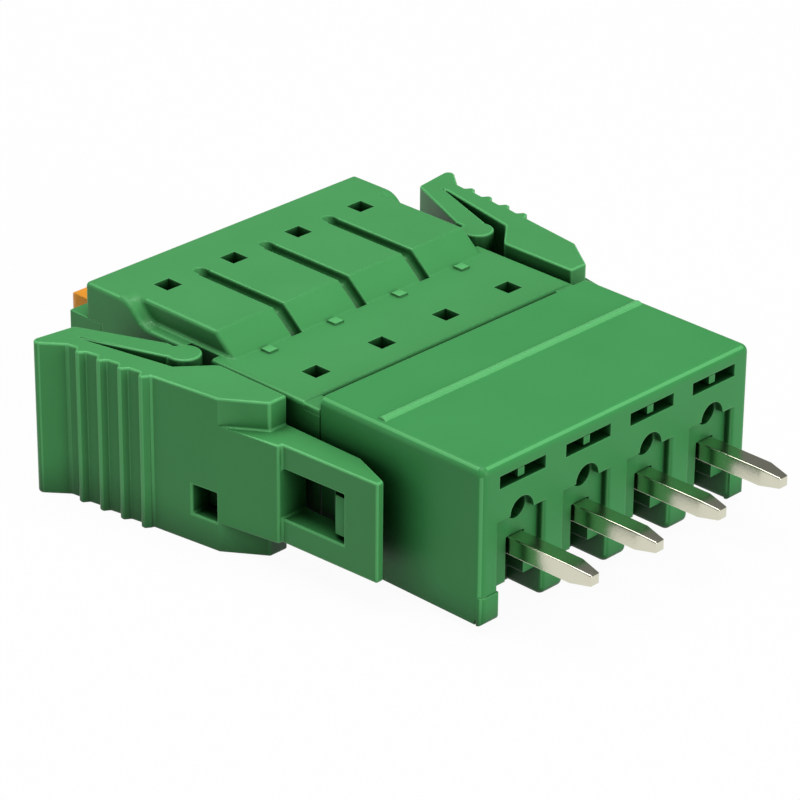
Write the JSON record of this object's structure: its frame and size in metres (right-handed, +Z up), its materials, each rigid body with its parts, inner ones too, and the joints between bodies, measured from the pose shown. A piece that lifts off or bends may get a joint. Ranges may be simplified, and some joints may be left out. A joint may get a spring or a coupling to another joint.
{
  "type": "pluggable terminal block",
  "caption": "Push-in wire plug with side latch levers, mated in line with its straight solder-pin board header.",
  "frame": {"origin": "centre of the outline seen from above, at the level of the levers' underside", "axes": "+X across the poles, +Y from the board side to the wire side, +Z up with the test holes on top"},
  "size_m": [0.0248, 0.0294, 0.0077],
  "materials": {
    "green_plastic": "moulded, low gloss",
    "orange_plastic": "moulded, low gloss",
    "plated_pin": "tin plated, bright",
    "spring_steel": "rolled strip",
    "plated_contact": "tin plated copper alloy"
  },
  "bodies": {
    "block": {"header_housing": "green_plastic", "plug_housing": "green_plastic", "entry_cap": "green_plastic", "header_pin_1": "plated_pin", "header_pin_2": "plated_pin", "header_pin_3": "plated_pin", "header_pin_4": "plated_pin", "clamp_spring_1": "spring_steel", "clamp_spring_2": "spring_steel", "clamp_spring_3": "spring_steel", "clamp_spring_4": "spring_steel", "socket_contact_1": "plated_contact", "socket_contact_2": "plated_contact", "socket_contact_3": "plated_contact", "socket_contact_4": "plated_contact"},
    "button_1": {"push_button_1": "orange_plastic"},
    "button_2": {"push_button_2": "orange_plastic"},
    "button_3": {"push_button_3": "orange_plastic"},
    "button_4": {"push_button_4": "orange_plastic"},
    "lever_left": {"latch_lever_left": "green_plastic"},
    "lever_right": {"latch_lever_right": "green_plastic"}
  },
  "joints": [
    {"name": "button_1_press", "type": "slide", "parent": "block", "child": "button_1", "axis": [0, -1, 0], "range_m": [0, 0.0011], "stiffness_N_per_m": 3000, "springref_m": -0.0004, "deforming": ["clamp_spring_1"]},
    {"name": "button_2_press", "type": "slide", "parent": "block", "child": "button_2", "axis": [0, -1, 0], "range_m": [0, 0.0011], "stiffness_N_per_m": 3000, "springref_m": -0.0004, "deforming": ["clamp_spring_2"]},
    {"name": "button_3_press", "type": "slide", "parent": "block", "child": "button_3", "axis": [0, -1, 0], "range_m": [0, 0.0011], "stiffness_N_per_m": 3000, "springref_m": -0.0004, "deforming": ["clamp_spring_3"]},
    {"name": "button_4_press", "type": "slide", "parent": "block", "child": "button_4", "axis": [0, -1, 0], "range_m": [0, 0.0011], "stiffness_N_per_m": 3000, "springref_m": -0.0004, "deforming": ["clamp_spring_4"]},
    {"name": "lever_left_swing", "type": "hinge", "parent": "block", "child": "lever_left", "pos_m": [-0.00921, 0.00295, 0.0035], "axis": [0, 0, -1], "range_deg": [0, 8], "stiffness_Nm_per_rad": 0.05, "springref_deg": -1.15},
    {"name": "lever_right_swing", "type": "hinge", "parent": "block", "child": "lever_right", "pos_m": [0.00921, 0.00295, 0.0035], "axis": [0, 0, 1], "range_deg": [0, 8], "stiffness_Nm_per_rad": 0.05, "springref_deg": -1.15}
  ]
}
